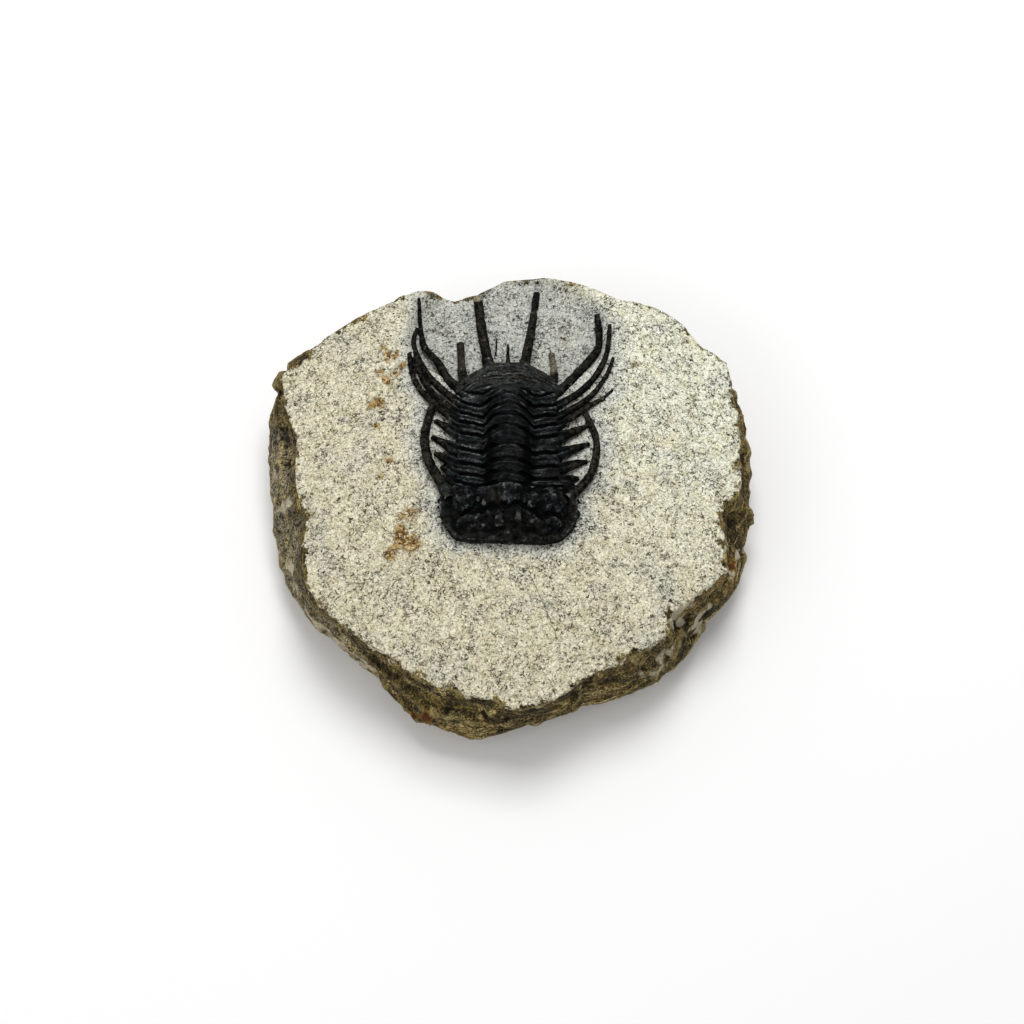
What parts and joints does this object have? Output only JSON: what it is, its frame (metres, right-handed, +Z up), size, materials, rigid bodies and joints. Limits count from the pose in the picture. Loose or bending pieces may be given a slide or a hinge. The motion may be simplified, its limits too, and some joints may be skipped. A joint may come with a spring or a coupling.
{
  "type": "trilobite fossil",
  "caption": "Spiny trilobite with ribbed body and long swept-back spines, lying on the cleaned face of a rough limestone piece with a flat underside.",
  "frame": {"origin": "middle of the bounding box on the flat underside of the stone", "axes": "+Z up out of the cleaned face, head of the trilobite towards -Y, tail and spines towards +Y"},
  "size_m": [0.0718, 0.0692, 0.0219],
  "materials": {
    "limestone": "rough cream limestone, grey-brown on its broken sides",
    "fossil": "black calcite with a dull sheen"
  },
  "bodies": {
    "root": {"matrix_stone": "limestone", "trilobite": "fossil"}
  },
  "joints": []
}
